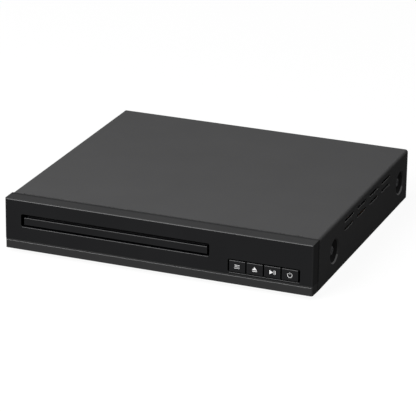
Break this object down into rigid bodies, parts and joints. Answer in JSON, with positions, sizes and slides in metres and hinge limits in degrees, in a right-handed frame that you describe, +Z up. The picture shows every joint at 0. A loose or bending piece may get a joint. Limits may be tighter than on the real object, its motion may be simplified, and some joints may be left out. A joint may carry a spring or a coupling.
{
  "type": "disc player with tray",
  "caption": "Compact low disc player: folded steel cover, moulded front with a narrow disc tray and a row of keys, sockets behind.",
  "frame": {"origin": "under the middle of the whole player, rear sockets included, on the surface that the feet stand on", "axes": "+X to the player's right seen from the front, +Y from the front face to the back, +Z up"},
  "size_m": [0.225, 0.2148, 0.04],
  "materials": {
    "cover_paint": "fine-textured black powder coat",
    "panel_plastic": "black moulded ABS, semi-gloss",
    "key_plastic": "black moulded ABS, satin",
    "steel_sheet": "galvanised sheet",
    "rear_paint": "black paint",
    "foot_rubber": "matt",
    "black_screw": "black zinc",
    "bright_screw": "nickel plated",
    "board_green": "solder-resist coated laminate",
    "board_tan": "paper laminate",
    "chip_black": "moulded epoxy",
    "frame_plastic": "black moulded plastic",
    "tray_plastic": "black moulded plastic, satin",
    "gear_plastic": "natural acetal",
    "belt_rubber": "matt",
    "motor_steel": "plated can",
    "rod_steel": "ground and polished",
    "magnet_dark": "sintered",
    "sled_alloy": "die cast",
    "lens_glass": "coated moulded lens",
    "damper_rubber": "soft silicone",
    "capacitor_sleeve": "shrink sleeve",
    "header_plastic": "natural nylon",
    "jack_plastic": "moulded",
    "jack_metal": "nickel plated",
    "ferrite": "sintered ferrite and tape",
    "copper_winding": "enamelled copper",
    "sink_aluminium": "extruded",
    "fuse_glass": "clear",
    "ribbon": "white flat cable"
  },
  "bodies": {
    "case": {"base_pan": "steel_sheet", "board_plugs": "header_plastic", "chassis_screws": "bright_screw", "clamp_bridge": "steel_sheet", "cover_rear_screws": "black_screw", "cover_side_screws": "black_screw", "drive_belt": "belt_rubber", "feet": "foot_rubber", "flat_cables": "ribbon", "front_panel": "panel_plastic", "fuse": "fuse_glass", "heat_sink": "sink_aluminium", "jack_housings": "jack_plastic", "jack_sleeves": "jack_metal", "key_board": "board_tan", "key_holder": "frame_plastic", "key_switches": "chip_black", "loader_frame": "frame_plastic", "loading_motor": "motor_steel", "main_board": "board_green", "main_capacitors": "capacitor_sleeve", "main_chips": "chip_black", "mains_choke": "copper_winding", "mains_inlet": "jack_plastic", "panel_screws": "bright_screw", "power_board": "board_tan", "power_capacitors": "capacitor_sleeve", "rear_panel": "rear_paint", "rear_panel_screws": "black_screw", "remote_receiver": "chip_black", "top_cover": "cover_paint", "transformer": "ferrite", "video_socket": "jack_metal"},
    "tray": {"tray": "tray_plastic", "tray_door": "panel_plastic"},
    "drive_gear": {"drive_gear": "gear_plastic"},
    "pulley_gear": {"pulley_gear": "gear_plastic"},
    "motor_pulley": {"motor_pulley": "gear_plastic"},
    "key_1": {"key_1": "key_plastic"},
    "key_2": {"key_2": "key_plastic"},
    "key_3": {"key_3": "key_plastic"},
    "key_4": {"key_4": "key_plastic"},
    "clamper": {"clamper": "gear_plastic", "clamper_cap": "gear_plastic", "clamp_magnet": "magnet_dark"},
    "cam_slider": {"cam_slider": "gear_plastic"},
    "lift": {"lift_frame": "frame_plastic", "traverse_plate": "steel_sheet", "dampers": "damper_rubber", "damper_screws": "bright_screw", "guide_rods": "rod_steel", "spindle_motor": "copper_winding", "feed_motor": "motor_steel"},
    "turntable": {"turntable": "motor_steel"},
    "sled": {"pickup_sled": "sled_alloy", "sled_rack": "gear_plastic", "lens_holder": "chip_black", "objective_lens": "lens_glass"},
    "feed_gear": {"feed_gear": "gear_plastic"},
    "feed_pinion": {"feed_motor_pinion": "gear_plastic"}
  },
  "joints": [
    {"name": "tray_slide", "type": "slide", "parent": "case", "child": "tray", "axis": [0, -1, 0], "range_m": [0, 0.126]},
    {"name": "drive_gear_spin", "type": "hinge", "parent": "case", "child": "drive_gear", "pos_m": [0.02105, -0.0734, 0.0211], "axis": [0, 0, 1], "continuous": true},
    {"name": "pulley_gear_spin", "type": "hinge", "parent": "case", "child": "pulley_gear", "pos_m": [0.00185, -0.0734, 0.0162], "axis": [0, 0, 1], "continuous": true},
    {"name": "motor_pulley_spin", "type": "hinge", "parent": "case", "child": "motor_pulley", "pos_m": [-0.02645, -0.0734, 0.0162], "axis": [0, 0, 1], "continuous": true},
    {"name": "key_1_press", "type": "slide", "parent": "case", "child": "key_1", "axis": [0, 1, 0], "range_m": [0, 0.0006], "stiffness_N_per_m": 1200, "springref_m": -0.0004},
    {"name": "key_2_press", "type": "slide", "parent": "case", "child": "key_2", "axis": [0, 1, 0], "range_m": [0, 0.0006], "stiffness_N_per_m": 1200, "springref_m": -0.0004},
    {"name": "key_3_press", "type": "slide", "parent": "case", "child": "key_3", "axis": [0, 1, 0], "range_m": [0, 0.0006], "stiffness_N_per_m": 1200, "springref_m": -0.0004},
    {"name": "key_4_press", "type": "slide", "parent": "case", "child": "key_4", "axis": [0, 1, 0], "range_m": [0, 0.0006], "stiffness_N_per_m": 1200, "springref_m": -0.0004},
    {"name": "clamper_spin", "type": "hinge", "parent": "case", "child": "clamper", "pos_m": [-0.03045, -0.0334, 0.0282], "axis": [0, 0, 1], "continuous": true},
    {"name": "lift_tilt", "type": "hinge", "parent": "case", "child": "lift", "pos_m": [-0.03045, 0.0446, 0.015], "axis": [-1, 0, 0], "range_deg": [0, 4.26]},
    {"name": "cam_slide", "type": "slide", "parent": "case", "child": "cam_slider", "axis": [-1, 0, 0], "range_m": [0, 0.02]},
    {"name": "turntable_spin", "type": "hinge", "parent": "lift", "child": "turntable", "pos_m": [-0.03045, -0.03406, 0.02097], "axis": [0, -0.0743, 0.9972], "continuous": true},
    {"name": "sled_slide", "type": "slide", "parent": "lift", "child": "sled", "axis": [0, 0.9972, 0.0743], "range_m": [0, 0.033]},
    {"name": "feed_gear_spin", "type": "hinge", "parent": "lift", "child": "feed_gear", "pos_m": [-0.06345, 0.00056, 0.01392], "axis": [0, -0.0743, 0.9972], "continuous": true},
    {"name": "feed_pinion_spin", "type": "hinge", "parent": "lift", "child": "feed_pinion", "pos_m": [-0.06345, -0.01141, 0.01303], "axis": [0, -0.0743, 0.9972], "continuous": true}
  ],
  "couplings": [
    {"joint": "drive_gear_spin", "follows": "tray_slide", "rad_per_m": -111.11},
    {"joint": "pulley_gear_spin", "follows": "tray_slide", "rad_per_m": 333.33},
    {"joint": "motor_pulley_spin", "follows": "tray_slide", "rad_per_m": 1047.6},
    {"joint": "cam_slide", "follows": "lift_tilt", "m_per_rad": 0.26899},
    {"joint": "feed_gear_spin", "follows": "sled_slide", "rad_per_m": 208.33},
    {"joint": "feed_pinion_spin", "follows": "sled_slide", "rad_per_m": -486.11}
  ]
}
